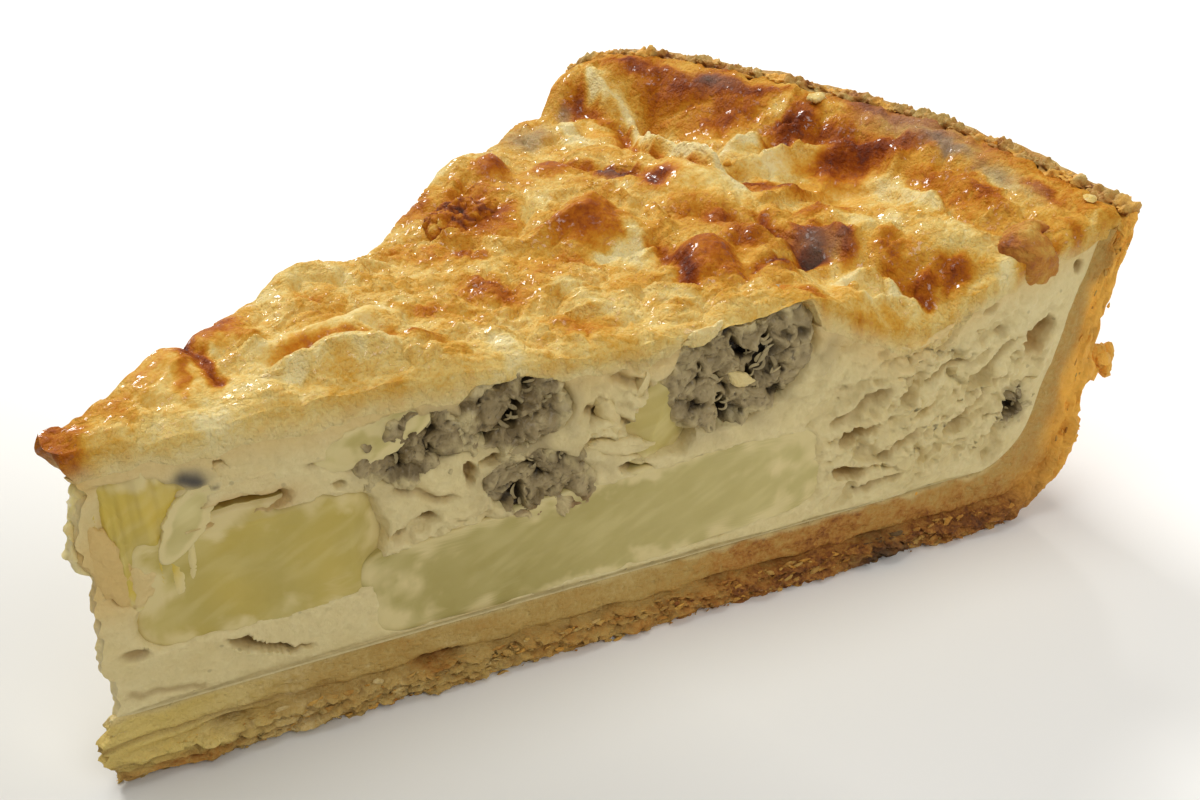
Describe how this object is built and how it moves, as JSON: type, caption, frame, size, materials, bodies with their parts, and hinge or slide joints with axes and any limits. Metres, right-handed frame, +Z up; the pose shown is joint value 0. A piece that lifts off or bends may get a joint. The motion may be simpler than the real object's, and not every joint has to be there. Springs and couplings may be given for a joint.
{
  "type": "vegetable quiche slice",
  "caption": "Wedge of baked vegetable quiche with a shortcrust case, set custard, potato, mushroom and a browned cheese top; rests flat on its base.",
  "frame": {"origin": "middle of the slice's footprint, on the surface it rests on", "axes": "+X along the slice's middle line from the tip to the rim, +Z up, +Y towards the hidden cut"},
  "size_m": [0.1282, 0.096, 0.0438],
  "materials": {
    "pastry": "baked shortcrust, dry and flaky, paler dough where it is cut",
    "custard": "set egg custard, moist and satin",
    "browned_cheese": "melted cheese browned in the oven, oily gloss",
    "potato": "cooked potato, moist and smooth",
    "mushroom": "cooked mushroom, wet, grey brown",
    "browned_topping": "roasted and browned, glossy"
  },
  "bodies": {
    "root": {"pastry_crust": "pastry", "custard_filling": "custard", "melted_cheese_top": "browned_cheese", "potato_sliver": "potato", "potato_tip_chunk": "potato", "potato_block": "potato", "potato_long_slice": "potato", "potato_small_chunk": "potato", "potato_thin_slice": "potato", "potato_far_slab": "potato", "potato_far_chunk": "potato", "mushroom_near_left": "mushroom", "mushroom_near_middle": "mushroom", "mushroom_near_low": "mushroom", "mushroom_near_large": "mushroom", "mushroom_near_bit": "mushroom", "mushroom_far_left": "mushroom", "mushroom_far_right": "mushroom", "browned_lump_near_rim": "browned_topping", "mushroom_on_top": "browned_topping"}
  },
  "joints": []
}
